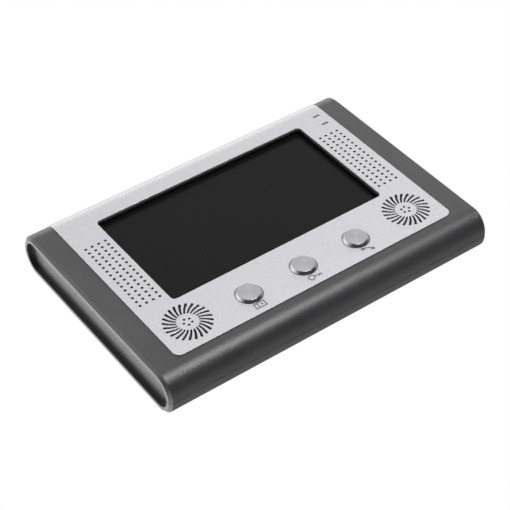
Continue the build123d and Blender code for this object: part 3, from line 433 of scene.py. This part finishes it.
epoxy = Finish("chip_epoxy", (0.018, 0.018, 0.02), {"Specular IOR Level": 0.4})
epoxy_grain = epoxy.noise(0.0003, 2.0)
dress(epoxy.vary({
    "Base Color": epoxy.tint(epoxy_grain, (0.014, 0.014, 0.015), (0.026, 0.026, 0.028)),
    "Roughness": 0.55 + epoxy_grain * 0.15,
    "Normal": epoxy.bump(epoxy_grain, 0.00002, epoxy.edges(0.0002)[0]),
}), "board_chips")

# ---- Edge dials, power socket and power switch ----
# Three black thumbwheels show through slots in the right end. Below them are the power socket
# and a slide switch. All of them are moulded in black and sit on the side board.
black = moulded("black_moulding", (0.024, 0.024, 0.0255), 0.0004, 0.42)
dress(black, "button_switches", "speaker_retainer", "wheel_pots", "power_socket", "switch_knob")
dress(tin.material, "power_switch")


class Recipe(Graph):
    """A Geometry Nodes tree with named sizes, which makes plain meshes."""

    def __init__(self, name, sizes):
        super().__init__(bpy.data.node_groups.new(name, "GeometryNodeTree"))
        self.tree.interface.new_socket("Geometry", in_out="OUTPUT", socket_type="NodeSocketGeometry")
        for size in sizes:
            self.tree.interface.new_socket(size, in_out="INPUT", socket_type="NodeSocketFloat")
        entry = self.tree.nodes.new("NodeGroupInput")
        self.size = {size: Wire(self, entry.outputs[size]) for size in sizes}

    def vector(self, x=0.0, y=0.0, z=0.0):
        return self.node("ShaderNodeCombineXYZ", None, {0: x, 1: y, 2: z})

    def finish(self, parts, material):
        """Joins the parts, realises the instances and sets the material."""
        joined = self.node("GeometryNodeJoinGeometry", None, {0: parts})
        real = self.node("GeometryNodeRealizeInstances", None, {0: joined})
        dressed = self.node("GeometryNodeSetMaterial", None, {0: real, 2: material})
        out = self.tree.nodes.new("NodeGroupOutput")
        self.tree.links.new(dressed.socket, out.inputs[0])

    def make(self, name, sizes):
        """Plain mesh object made with these sizes."""
        made = bpy.data.objects.new(name, bpy.data.meshes.new(name))
        bpy.context.scene.collection.objects.link(made)
        modifier = made.modifiers.new("recipe", "NODES")
        modifier.node_group = self.tree
        for item in self.tree.interface.items_tree:
            if item.in_out == "INPUT":
                modifier[item.identifier] = sizes[item.name]
        bpy.context.view_layer.update()
        made_now = made.evaluated_get(bpy.context.evaluated_depsgraph_get())
        plain = bpy.data.meshes.new_from_object(made_now)
        made.modifiers.remove(modifier)
        made.data = plain
        return made


wheel_recipe = Recipe("thumbwheel", ["radius", "bore", "thickness", "rib", "ribs", "x", "y", "z"])
w = wheel_recipe.size
wheel_band = (w["radius"] - w["rib"] - w["bore"]) * 0.5
tyre_section = wheel_recipe.node("GeometryNodeCurvePrimitiveQuadrilateral", None, {
    "Width": wheel_band * 2.0, "Height": w["thickness"]})
tyre_soft = wheel_recipe.node("GeometryNodeFilletCurve", {"mode": "POLY"}, {
    0: tyre_section, "Count": 3, "Radius": 0.0003, "Limit Radius": True})
tyre_path = wheel_recipe.node("GeometryNodeCurvePrimitiveCircle", None, {
    "Resolution": 96, "Radius": w["bore"] + wheel_band})
tyre = wheel_recipe.node("GeometryNodeCurveToMesh", None, {0: tyre_path, 1: tyre_soft})
rib_shape = wheel_recipe.node("GeometryNodeMeshCylinder", None, {
    "Vertices": 10, "Radius": w["rib"], "Depth": w["thickness"] * 0.86})
rib_spots = wheel_recipe.node("GeometryNodeCurvePrimitiveCircle", None, {
    "Resolution": wheel_recipe.node("FunctionNodeFloatToInt", None, {0: w["ribs"]}),
    "Radius": w["radius"] - w["rib"]})
rib_ring = wheel_recipe.node("GeometryNodeInstanceOnPoints", None, {0: rib_spots, 2: rib_shape})
wheel_flat = wheel_recipe.node("GeometryNodeJoinGeometry", None, {0: [tyre, rib_ring]})
wheel_placed = wheel_recipe.node("GeometryNodeTransform", None, {
    0: wheel_flat, "Translation": wheel_recipe.vector(w["x"], w["y"], w["z"]), "Rotation": (math.pi / 2, 0, 0)})
wheel_recipe.finish([wheel_placed], black)

for body, node in (
    ("brightness_dial", "brightness_wheel"),
    ("contrast_dial", "contrast_wheel"),
    ("volume_dial", "volume_wheel"),
):
    low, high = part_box(node)
    wheel = wheel_recipe.make(node + "_knurled", {
        "radius": (high.x - low.x) / 2, "bore": 0.00155, "thickness": high.y - low.y, "rib": 0.00038, "ribs": 48.0,
        "x": (low.x + high.x) / 2, "y": (low.y + high.y) / 2, "z": (low.z + high.z) / 2})
    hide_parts(node)
    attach(wheel, body)

# ---- Terminals ----
# Each white socket holds a row of four tin-plated square pins with tapered tips, pressed through
# its floor and soldered to the board behind.
pin_recipe = Recipe("pin_rows", ["width", "shank", "tip", "pitch", "pins"])
p = pin_recipe.size
shank_shape = pin_recipe.node("GeometryNodeMeshCylinder", None, {
    "Vertices": 4, "Radius": p["width"] * math.sqrt(0.5), "Depth": p["shank"]})
tip_shape = pin_recipe.node("GeometryNodeMeshCone", None, {
    "Vertices": 4, "Radius Top": p["width"] * 0.25, "Radius Bottom": p["width"] * math.sqrt(0.5), "Depth": p["tip"]})
shank_placed = pin_recipe.node("GeometryNodeTransform", None, {
    0: shank_shape, "Translation": pin_recipe.vector(z=p["shank"] * 0.5)})
tip_placed = pin_recipe.node("GeometryNodeTransform", None, {
    0: tip_shape, "Translation": pin_recipe.vector(z=p["shank"])})
pin_upright = pin_recipe.node("GeometryNodeJoinGeometry", None, {0: [shank_placed, tip_placed]})
pin_turned = pin_recipe.node("GeometryNodeTransform", None, {0: pin_upright, "Rotation": (0, 0, math.pi / 4)})
pin_shape = pin_recipe.node("GeometryNodeTransform", None, {0: pin_turned, "Rotation": (-math.pi / 2, 0, 0)})
pin_line = pin_recipe.node("GeometryNodeMeshLine", None, {
    "Count": pin_recipe.node("FunctionNodeFloatToInt", None, {0: p["pins"]}),
    "Start Location": pin_recipe.vector(x=p["pitch"] * -1.5), "Offset": pin_recipe.vector(x=p["pitch"])})
pin_row = pin_recipe.node("GeometryNodeInstanceOnPoints", None, {0: pin_line, 2: pin_shape})
pin_low, pin_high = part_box("terminal_pins")
pin_length = 0.004
pin_width = 0.0006
pin_pitch = 0.0022
row_half = pin_pitch * 1.5 + pin_width / 2
main_roots = [(x, pin_high.y - pin_length, pin_low.z + pin_width / 2) for x in (pin_low.x + row_half, 0, 0.0134)]
side_root = (pin_high.x - row_half, pin_low.y, pin_high.z - pin_width / 2)
pin_recipe.finish([
    pin_recipe.node("GeometryNodeTransform", None, {0: pin_row, "Translation": root})
    for root in (*main_roots, side_root)
], tin.material)
pins = pin_recipe.make("tapered_pins", {
    "width": pin_width, "shank": pin_length * 0.8, "tip": pin_length * 0.2, "pitch": pin_pitch, "pins": 4.0})
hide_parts("terminal_pins")
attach(pins, "monitor")

# ---- Screws ----
# Black zinc-plated steel screws with cross recesses, four in the back and the small ones inside.
zinc = Finish("black_zinc", (0.045, 0.045, 0.048), {"Metallic": 0.9})
zinc_grain = zinc.noise(0.0009, 3.0)
zinc_rounded, zinc_edge = zinc.edges(0.0002)
zinc_material = zinc.vary({
    "Base Color": zinc.tint(zinc_edge * 0.7, (0.05, 0.05, 0.053), (0.30, 0.29, 0.28)),
    "Roughness": 0.32 + zinc_grain * 0.18,
    "Normal": zinc.bump(zinc_grain, 0.00001, zinc_rounded),
})
dress(zinc_material, "board_screws")

screw_recipe = Recipe("case_screw_set", ["across", "up", "rise", "head", "height", "shaft", "length", "recess"])
q = screw_recipe.size
head_base = screw_recipe.node("GeometryNodeMeshCylinder", None, {
    "Vertices": 48, "Radius": q["head"], "Depth": q["height"] * 0.5})
head_crown = screw_recipe.node("GeometryNodeMeshCone", None, {
    "Vertices": 48, "Radius Top": q["head"] * 0.74, "Radius Bottom": q["head"], "Depth": q["height"] * 0.5})
crown_placed = screw_recipe.node("GeometryNodeTransform", None, {
    0: head_crown, "Translation": screw_recipe.vector(z=q["height"] * 0.5)})
base_placed = screw_recipe.node("GeometryNodeTransform", None, {
    0: head_base, "Translation": screw_recipe.vector(z=q["height"] * 0.25)})
head_solid = screw_recipe.node("GeometryNodeMeshBoolean", {"operation": "UNION"}, {1: [base_placed, crown_placed]})
blades = []
for turn in (0, math.pi / 2):
    blade = screw_recipe.node("GeometryNodeMeshCube", None, {
        0: screw_recipe.vector(q["head"] * 1.25, q["recess"], q["height"] * 1.2)})
    blades.append(screw_recipe.node("GeometryNodeTransform", None, {
        0: blade, "Translation": screw_recipe.vector(z=q["height"]), "Rotation": (0, 0, turn)}))
head_cut = screw_recipe.node("GeometryNodeMeshBoolean", {"operation": "DIFFERENCE"}, {0: head_solid, 1: blades})
thread_pitch = 0.00115
thread_coil = screw_recipe.node("GeometryNodeCurveSpiral", None, {
    "Resolution": 20, "Rotations": 12.0, "Start Radius": q["shaft"] * 0.86, "End Radius": q["shaft"] * 0.86,
    "Height": thread_pitch * 12})
thread_section = screw_recipe.node("GeometryNodeCurvePrimitiveCircle", None, {
    "Resolution": 5, "Radius": q["shaft"] * 0.13})
thread = screw_recipe.node("GeometryNodeCurveToMesh", None, {0: thread_coil, 1: thread_section, "Fill Caps": True})
core = screw_recipe.node("GeometryNodeMeshCylinder", None, {
    "Vertices": 24, "Radius": q["shaft"] * 0.84, "Depth": q["length"]})
core_placed = screw_recipe.node("GeometryNodeTransform", None, {
    0: core, "Translation": screw_recipe.vector(z=q["length"] * -0.5)})
thread_placed = screw_recipe.node("GeometryNodeTransform", None, {
    0: thread, "Translation": screw_recipe.vector(z=q["length"] * -0.96)})
screw_upright = screw_recipe.node("GeometryNodeJoinGeometry", None, {0: [head_cut, core_placed, thread_placed]})
screw_shape = screw_recipe.node("GeometryNodeTransform", None, {0: screw_upright, "Rotation": (-math.pi / 2, 0, 0)})
screw_grid = screw_recipe.node("GeometryNodeMeshGrid", None, {
    "Size X": q["across"], "Size Y": q["up"], "Vertices X": 2, "Vertices Y": 2})
grid_upright = screw_recipe.node("GeometryNodeTransform", None, {
    0: screw_grid, "Rotation": (math.pi / 2, 0, 0), "Translation": screw_recipe.vector(y=q["rise"], z=-0.0042)})
screw_set = screw_recipe.node("GeometryNodeInstanceOnPoints", None, {0: grid_upright, 2: screw_shape})
screw_recipe.finish([screw_set], zinc_material)
screw_low, screw_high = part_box("case_screws")
head_radius = 0.0027
head_height = 0.002
screws = screw_recipe.make("cross_screws", {
    "across": screw_high.x - screw_low.x - 2 * head_radius, "up": screw_high.z - screw_low.z - 2 * head_radius,
    "rise": screw_high.y - head_height, "head": head_radius, "height": head_height, "shaft": 0.00145,
    "length": screw_high.y - screw_low.y - head_height, "recess": 0.0007})
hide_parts("case_screws")
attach(screws, "monitor")

# ---- Seal disc and corner sticker ----
# A round paper seal sits on the back, and a glossy white sticker is folded over the top edge
# across one of the case screws.
seal_low, seal_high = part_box("seal_disc")
seal = Finish("seal_paper", (0.60, 0.60, 0.61), {"Coat Weight": 0.2, "Coat Roughness": 0.3})
seal_local = seal.node("ShaderNodeMapping", None, {
    "Vector": seal.place, "Location": (-(seal_low.x + seal_high.x) / 2, 0, -(seal_low.z + seal_high.z) / 2)})
seal_flat = seal.node("ShaderNodeVectorMath", {"operation": "MULTIPLY"}, {0: seal_local, 1: (1, 0, 1)})
seal_radius = seal.node("ShaderNodeVectorMath", {"operation": "LENGTH"}, {0: seal_flat}, output=1)
rings = seal.node("ShaderNodeMath", {"operation": "SINE"}, {0: seal_radius * (2 * math.pi / 0.0016)})
dress(seal.vary({
    "Base Color": seal.tint(seal.ramp(rings, 0.5, 0.8), (0.60, 0.60, 0.61), (0.30, 0.30, 0.31)),
    "Roughness": 0.4 + seal.noise(0.001, 3.0) * 0.15,
}), "seal_disc")

sticker = Finish("sticker_paper", (0.84, 0.86, 0.88), {"Coat Weight": 0.35, "Coat Roughness": 0.2})
fibre = sticker.noise(0.0012, 4.0)
dress(sticker.vary({
    "Base Color": sticker.tint(fibre, (0.80, 0.82, 0.85), (0.88, 0.89, 0.90)),
    "Roughness": 0.35 + fibre * 0.2,
    "Normal": sticker.bump(sticker.noise(0.004, 2.0), 0.00005, sticker.edges(0.0001)[0]),
}), "corner_sticker")

# ---- Wall bracket ----
# A tray folded from 1.2 mm sheet steel, with punched screw slots, cable holes and four hooks that
# catch in the case. It is powder coated in a warm dark grey.
coat = (0.060, 0.056, 0.056)
powder = Finish("powder_coat", coat, {"Specular IOR Level": 0.5})
peel = powder.noise(0.0011, 2.0) + powder.noise(0.0004, 1.0) * 0.4
dusting = powder.noise(0.02, 4.0)
bracket_rounded, bracket_worn = powder.edges(0.0003)
scuffed = bracket_worn * powder.ramp(powder.noise(0.004, 4.0), 0.42, 0.7)
powder_colour = powder.tint(dusting, shade(coat, 0.9), shade(coat, 1.12))
dress(powder.vary({
    "Base Color": powder.tint(scuffed * 0.6, powder_colour, (0.22, 0.21, 0.21)),
    "Roughness": 0.46 + dusting * 0.12 - scuffed * 0.1,
    "Normal": powder.bump(peel, 0.00003, bracket_rounded),
}), "wall_bracket")

# ---- Studio ----
# White surroundings that light the monitor as if it lay face up on a table: bright low walls
# beyond its top edge, a darker ceiling, a shadowed table and one large lamp overhead. A pale floor
# lies 1.3 m below. The camera looks up at the front from the lower left, turned so that the wall
# lies like a table top.
scene = bpy.context.scene
scene.view_settings.view_transform = "Standard"

camera_place = Vector((-0.4025, -0.6571, -0.5744))
camera_aim = Vector((-0.0041, -0.0196, -0.0091))
image_up = Vector((0.4251, -0.7062, 0.5661))
forward = (camera_aim - camera_place).normalized()
up = (image_up - forward * image_up.dot(forward)).normalized()
side = forward.cross(up)
camera_data = bpy.data.cameras.new("camera")
camera_data.lens = 109.0
camera = bpy.data.objects.new("camera", camera_data)
scene.collection.objects.link(camera)
camera.matrix_world = Matrix.Translation(camera_place) @ Matrix((side, up, -forward)).transposed().to_4x4()
scene.camera = camera


def soft_lamp(name, place, aim, size, watts, tint=(1, 1, 1)):
    """Square area lamp."""
    data = bpy.data.lights.new(name, "AREA")
    data.size = size
    data.energy = watts
    data.color = tint
    lamp_object = bpy.data.objects.new(name, data)
    scene.collection.objects.link(lamp_object)
    lamp_object.location = place
    lamp_object.rotation_mode = "QUATERNION"
    lamp_object.rotation_quaternion = (Vector(place) - Vector(aim)).to_track_quat("Z", "Y")
    return lamp_object


floor_z = -1.3
floor_half = 6.0
floor_mesh = bpy.data.meshes.new("floor")
floor_mesh.from_pydata([(x, y, floor_z) for x, y in (
    (-floor_half, -floor_half), (floor_half, -floor_half), (floor_half, floor_half), (-floor_half, floor_half),
)], [], [(0, 1, 2, 3)])
pale = Finish("pale_floor", (0, 0, 0), {"Specular IOR Level": 0.0, "Emission Color": (1, 1, 1, 1), "Emission Strength": 1.0})
floor_mesh.materials.append(pale.material)
floor = bpy.data.objects.new("floor", floor_mesh)
scene.collection.objects.link(floor)
floor.visible_diffuse = False
floor.visible_glossy = False

soft_lamp("overhead", (0.29, -1.13, -0.35), (0, 0, 0), 0.58, 13.5)

world = bpy.data.worlds.new("studio")
world.use_nodes = True
scene.world = world
sky = Graph(world.node_tree)
sky.tree.nodes.clear()
direction = sky.tree.nodes.new("ShaderNodeSeparateXYZ")
sky.tree.links.new(sky.node("ShaderNodeTexCoord", output=0).socket, direction.inputs[0])
toward_right = Wire(sky, direction.outputs[0])
toward_wall = Wire(sky, direction.outputs[1])
toward_top = Wire(sky, direction.outputs[2])


def blend(value, low, high, start, end):
    """Goes from `start` to `end` while the value goes from `low` to `high`."""
    limits = {"Value": value, "From Min": low, "From Max": high, "To Min": start, "To Max": end}
    return sky.node("ShaderNodeMapRange", None, limits)


overhead = blend(toward_top, -0.3, 0.45, 0.10, 1.06)
walls = blend(toward_top, -0.30, 0.40, 0.06, 2.35)
shadowed = blend(toward_top, -0.6, 0.3, 0.80, 0.28)
table = shadowed + (2.7 - shadowed) * blend(toward_right, 0.15, -0.25, 0.0, 1.0)
room = walls + (overhead - walls) * blend(toward_wall, -0.25, -0.5, 0.0, 1.0)
glow = room + (table - room) * blend(toward_wall, 0.0, 0.25, 0.0, 1.0)
lit = sky.node("ShaderNodeBackground", None, {"Color": (1, 1, 1, 1), "Strength": glow})
seen = sky.node("ShaderNodeBackground", None, {"Color": (1, 1, 1, 1), "Strength": 1.0})
camera_ray = sky.node("ShaderNodeLightPath", output=0)
mixed = sky.node("ShaderNodeMixShader", None, {0: camera_ray, 1: lit, 2: seen})
world_out = sky.tree.nodes.new("ShaderNodeOutputWorld")
sky.tree.links.new(mixed.socket, world_out.inputs[0])
